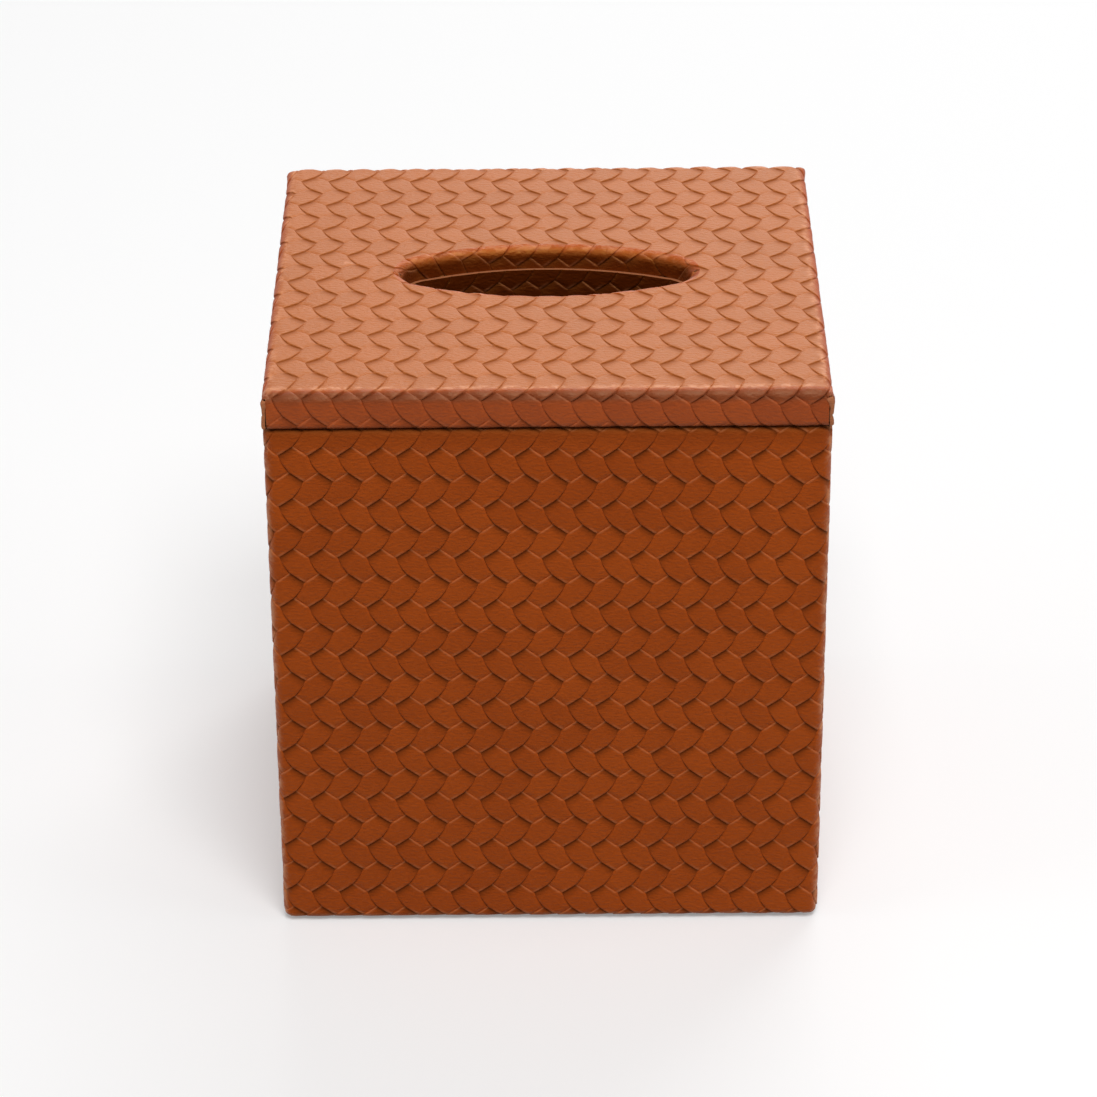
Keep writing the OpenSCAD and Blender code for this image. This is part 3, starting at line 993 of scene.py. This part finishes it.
# Painted shade at the lid's foot, in the gap over the body.
set_attribute(lid_sheet, "gap_shade", 0.6 * eased((past - foot_start - 0.4) / 0.8))
scuff_x, scuff_y = ((co[:, i] - SCUFF_AT[i]) / SCUFF_SIZE[i] for i in (0, 1))
# Pale wear with a painted highlight along the front fold and the side folds, and one real scuff.
side_past = np.where(past > front_past, past, NOT_HERE)
front_wear_and_highlight = 1 - eased(np.abs(front_past + 0.9) / 1.2)
side_wear_and_highlight = 0.8 * (1 - eased(np.abs(side_past - 0.7) / 1.2))
scuffed = np.exp(-(scuff_x**2) - scuff_y**2)
set_attribute(lid_sheet, "edge", np.max([front_wear_and_highlight, side_wear_and_highlight, scuffed], axis=0))
# Painted shade below the front fold.
under_roll_shade = eased((front_past + 0.1) / 1.5) * (1 - eased((front_past - 2.9) / 1.6))
set_attribute(lid_sheet, "deep_shade", under_roll_shade)
# Painted light: the top is made paler.
lit_top_mask = np.minimum(1 - eased((front_past + 0.9) / 1.4), 1 - eased((past - 0.2) / 2.0))
set_attribute(lid_sheet, "lit_top", lit_top_mask)
on_fold = eased((past_y + 0.8) / 1.6) * (1 - eased((past_y - 3.0) / 1.6))
co[:, 2] += (PUFF * on_fold / (1 + 0.9 * on_fold)) * get_attribute(lid_sheet, "puff") / RELIEF
place_points(lid_sheet, co)
wrap(lid_sheet, lid_surface)
finish_piece(lid_sheet, "lid", lid_leather, "lid_leather")

# %% [markdown]
# ## The roll into the oval
# The same sheet is rolled over the oval's rim and glued to its wall, and its colour is darkened
# into the mouth as painted shade. It is modelled as two pieces, one for each long side, that meet
# the top along the rim line: each column of the flat sheet is bent straight over the rim, so the
# tiles run down into the mouth without a twist.

# %% Rolling the leather into the oval
ROLL_WALL, ROLL_SHEET = 6.5, 16
ROLL_DEPTH = QUARTER * OPEN_RIM_R + ROLL_WALL


def roll_surface(sign):
    """The rolled rim of the far side (1) or the near side (-1) of the oval."""

    def surface(x, y):
        half, way_x, way_y = oval_half(x)
        depth = np.maximum(half - sign * (y - OPEN_BACK), 0)
        angle = np.clip(depth / OPEN_RIM_R, 0, QUARTER)
        down = np.maximum(depth - QUARTER * OPEN_RIM_R, 0)
        inward = OPEN_RIM_R * np.sin(angle)
        foot = np.column_stack([
            np.clip(x, -OVAL_TIP, OVAL_TIP) - way_x * inward,
            OPEN_BACK + sign * (half - way_y * inward),
            LID_Z - OPEN_RIM_R * (1 - np.cos(angle)) - down,
        ])
        normal = np.column_stack([
            -way_x * np.sin(angle), -sign * way_y * np.sin(angle), np.cos(angle)
        ])
        return foot, normal, np.ones(len(x))

    return surface


def roll_outside(sign):
    """What lies outside a roll's sheet: past the rim line, or deeper than the roll reaches."""

    def outside(x, y):
        depth = oval_half(x)[0] - sign * (y - OPEN_BACK)
        past_rim = np.where(sign * (y - OPEN_BACK) > 0, -inside_rim(x, y), np.abs(x) - OVAL_TIP)
        return np.maximum(past_rim, depth - ROLL_DEPTH)

    return outside


for name, sign in (("opening_roll_back", 1), ("opening_roll_front", -1)):
    ends = OPEN_BACK + sign * ROLL_SHEET, OPEN_BACK - sign * (ROLL_DEPTH + 0.5)
    piece = flat_sheet(name, LID_LATTICE, (-OVAL_TIP, min(ends)), (OVAL_TIP, max(ends)))
    cut_away(piece, roll_outside(sign))
    co = points(piece)
    depth = oval_half(co[:, 0])[0] - sign * (co[:, 1] - OPEN_BACK)
    # Painted shade that grows down into the mouth.
    set_attribute(piece, "deep_shade", 0.88 * eased((depth - 0.8) / 3.2))
    # Pale wear with a painted highlight along the roll's crest.
    set_attribute(piece, "edge", 0.7 * (1 - eased(np.abs(depth - 1.3) / 1.2)))
    wrap(piece, roll_surface(sign))
    finish_piece(piece, "lid", rolled_leather, "lid_leather")

# %% [markdown]
# ## The band in the opening
# A strip of the same leather lines the oval below the roll. Its top edge was cut bare and stands
# a little proud of the roll, so it shows as a thin pale line. The photo shows that line 1.9 mm
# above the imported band, and the strip is raised to it.

# %% The band
BAND_T, BAND_RISE = 1.0, 1.9
END_ARC, SIDE_ARC = END_R - BAND_T, SIDE_R - BAND_T
BETA = math.atan2(SIDE_Y, END_X)
BAND_ARCS = [
    (BETA, END_ARC, (END_X, 0), 0),
    (math.pi - 2 * BETA, SIDE_ARC, (0, -SIDE_Y), BETA),
    (2 * BETA, END_ARC, (-END_X, 0), math.pi - BETA),
    (math.pi - 2 * BETA, SIDE_ARC, (0, SIDE_Y), math.pi + BETA),
    (BETA, END_ARC, (END_X, 0), 2 * math.pi - BETA),
]
BAND_LENGTH = sum(angle * radius for angle, radius, centre, first in BAND_ARCS)


def band_surface(s, t):
    """s runs clockwise seen from above, so that it runs rightwards on the far wall."""
    s = BAND_LENGTH - np.clip(s, 0, BAND_LENGTH)
    foot, way = np.zeros((len(s), 2)), np.zeros((len(s), 2))
    start = 0.0
    for angle, radius, centre, first in BAND_ARCS:
        on = (s >= start - 1e-6) & (s <= start + angle * radius + 1e-6)
        turn = first + (s[on] - start) / radius
        way[on] = np.column_stack([np.cos(turn), np.sin(turn)])
        foot[on] = np.array(centre) + way[on] * radius
        start += angle * radius
    foot = np.column_stack([foot[:, 0], foot[:, 1] + OPEN_BACK, t])
    return foot, np.column_stack([-way, 0 * t]), np.ones(len(t))


band_low, band_high = node_box("opening_band")
band_top = band_high[2] + BAND_RISE
band_lattice = (3.0, band_top - 4.5, 7.25, 7.3, 0.0, 0.0)
band = flat_sheet(
    "opening_band_leather", band_lattice, (0, band_low[2]), (BAND_LENGTH, band_top)
)
# Painted shade: the whole band is darkened, deep in the mouth.
set_attribute(band, "deep_shade", np.ones(len(band.data.vertices)))
raw_edges(band, lambda s, t: abs(t - band_top) < 0.01)
wrap(band, band_surface)
finish_piece(band, "lid", rolled_leather, "opening_band")
bpy.data.objects.remove(leaf_pair)

# %% [markdown]
# ## Boards, card and suede
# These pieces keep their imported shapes. The boards are raw fibreboard: pressed brown fibres with
# darker flecks. The infill cards are grey, with fainter fibres. The linings are cards under suede
# cloth, whose short pile is brushed one way and another and so has cloudy patches.

# %% Materials of the kept pieces


def fibre_material(name, low, high, fleck):
    material, shader, place = new_material(name)
    fibres = place.noise(900.0, 6.0)
    clouds = place.noise(60.0, 2.0)
    chips = place.noise(2400.0, 2.0).between(0.62, 0.72)
    pressed = (fibres * 0.6 + clouds * 0.4).between(0.3, 0.7).mix(low, high)
    feed(
        shader,
        Base_Color=pressed.over(chips * 0.5, fleck),
        Roughness=0.82 + fibres * 0.1,
        Normal=fibres.bump(0.35, 0.0001),
    )
    return material


def suede_material(name, low, high):
    material, shader, place = new_material(name)
    pile = place.noise(3200.0, 3.0)
    brushed = place.noise(45.0, 3.0)
    swirl = place.noise(220.0, 4.0)
    feed(
        shader,
        Base_Color=(brushed * 0.5 + swirl * 0.2 + pile * 0.3).between(0.35, 0.65).mix(low, high),
        Roughness=0.88 + pile * 0.1,
        Normal=pile.bump(0.5, 0.00015),
        Sheen_Weight=0.35,
        Sheen_Roughness=0.4,
        Sheen_Tint=(0.55, 0.30, 0.16, 1),
        Specular_IOR_Level=0.2,
    )
    return material


BOARD_BROWNS = (0.36, 0.23, 0.12, 1), (0.52, 0.37, 0.22, 1), (0.16, 0.09, 0.04, 1)
CARD_GREYS = (0.24, 0.22, 0.18, 1), (0.34, 0.31, 0.26, 1), (0.12, 0.11, 0.1, 1)
SUEDE_BROWNS = (0.055, 0.020, 0.008, 1), (0.13, 0.052, 0.022, 1)
finishes = {
    "board": fibre_material("fibreboard", *BOARD_BROWNS),
    "card": fibre_material("grey_card", *CARD_GREYS),
    "suede": suede_material("suede_cloth", *SUEDE_BROWNS),
}
for part in frame["record"]["subparts"]:
    finish = finishes.get(part["material_slot"])
    if finish:
        for slot in bpy.data.objects[part["node"]].material_slots:
            slot.material = finish
        print(part["node"], finish.name)

# %% [markdown]
# ## The floor
# In the photo the cover stands on plain white, with only a soft shadow. So the camera and mirror
# rays see white paper that glows a little, which keeps the shadow pale. Light that bounces off
# the floor sees a grey one, or it would wash out the lower walls. The floor is clear from below,
# to show the underside.

# %% Floor
FLOOR_SIZE, FLOOR_DROP = 8, 0.0002
BOUNCE_GREY, PAPER_WHITE = (0.24, 0.24, 0.24, 1), (0.93, 0.93, 0.93, 1)
PAPER_GLOW = 0.26

bpy.ops.mesh.primitive_plane_add(size=FLOOR_SIZE, location=(0, 0, -FLOOR_DROP))
floor = bpy.context.active_object
floor.name = "floor"
floor_material, floor_shader, place = new_material("white_floor")
feed(floor_shader, Base_Color=BOUNCE_GREY, Roughness=0.9, Specular_IOR_Level=0.0)
seen = place.node("ShaderNodeLightPath", None, None, "Is Camera Ray")
seen = seen + place.node("ShaderNodeLightPath", None, None, "Is Glossy Ray")
paper = place.node("ShaderNodeBsdfDiffuse", None, {"Color": PAPER_WHITE})
glow = place.node("ShaderNodeEmission", None, {"Color": (1, 1, 1, 1), "Strength": 1.0})
paper = place.node("ShaderNodeMixShader", None, {0: PAPER_GLOW, 1: paper, 2: glow})
bounced = Wire(place.tree, floor_shader.outputs[0])
blend = place.node("ShaderNodeMixShader", None, {0: seen, 1: bounced, 2: paper})
below = place.node("ShaderNodeNewGeometry", None, None, "Backfacing")
clear = place.node("ShaderNodeBsdfTransparent")
one_sided = place.node("ShaderNodeMixShader", None, {0: below, 1: blend, 2: clear})
output = next(n for n in place.tree.nodes if n.type == "OUTPUT_MATERIAL")
place.tree.links.new(one_sided.socket, output.inputs[0])
floor.data.materials.append(floor_material)
print("floor", FLOOR_SIZE, "m")

# %% [markdown]
# ## The room and its lights
# A plain white room shows behind the cover and in its gloss, but lights it only weakly. Four
# soft boxes do the rest: one high in front that lights the top and the front, one behind whose
# mirror image gives the top its sheen, and a weak one at each side.

# %% World and lights
ROOM_LIGHT, LAMP_DISTANCE = 0.22, 2.0

world = bpy.data.worlds.new("studio")
bpy.context.scene.world = world
world.use_nodes = True
tree = world.node_tree
background = tree.nodes["Background"]
light_path = tree.nodes.new("ShaderNodeLightPath")
shown = Wire(tree, light_path.outputs["Is Camera Ray"])
for ray in ("Is Glossy Ray", "Is Transmission Ray"):
    shown = shown + Wire(tree, light_path.outputs[ray])
strength = shown.node(
    "ShaderNodeMapRange", None, {"Value": shown, "To Min": ROOM_LIGHT, "To Max": 1.0}
)
tree.links.new(strength.socket, background.inputs["Strength"])
background.inputs["Color"].default_value = (1, 1, 1, 1)


def softbox(name, azimuth, elevation, size, radiance):
    """A square soft light aimed at the cover. Its radiance is what its mirror image would show."""
    target = Vector((0, 0, 0.12))
    turn, rise = math.radians(azimuth), math.radians(elevation)
    level = math.cos(rise)
    way = Vector((math.sin(turn) * level, -math.cos(turn) * level, math.sin(rise)))
    data = bpy.data.lights.new(name, "AREA")
    data.shape, data.size = "SQUARE", size
    data.energy = radiance * math.pi * size * size
    lamp = bpy.data.objects.new(name, data)
    bpy.context.scene.collection.objects.link(lamp)
    lamp.location = target + way * LAMP_DISTANCE
    lamp.rotation_euler = way.to_track_quat("Z", "Y").to_euler()
    print(name, round(data.energy, 1), "W")


softbox("light_behind", 165, 38, 1.5, 2.7)
softbox("light_above", 10, 62, 0.9, 10.6)
softbox("light_left", -82, 22, 1.2, 1.1)
softbox("light_right", 82, 22, 1.2, 1.3)
bpy.context.scene.view_settings.view_transform = "Standard"
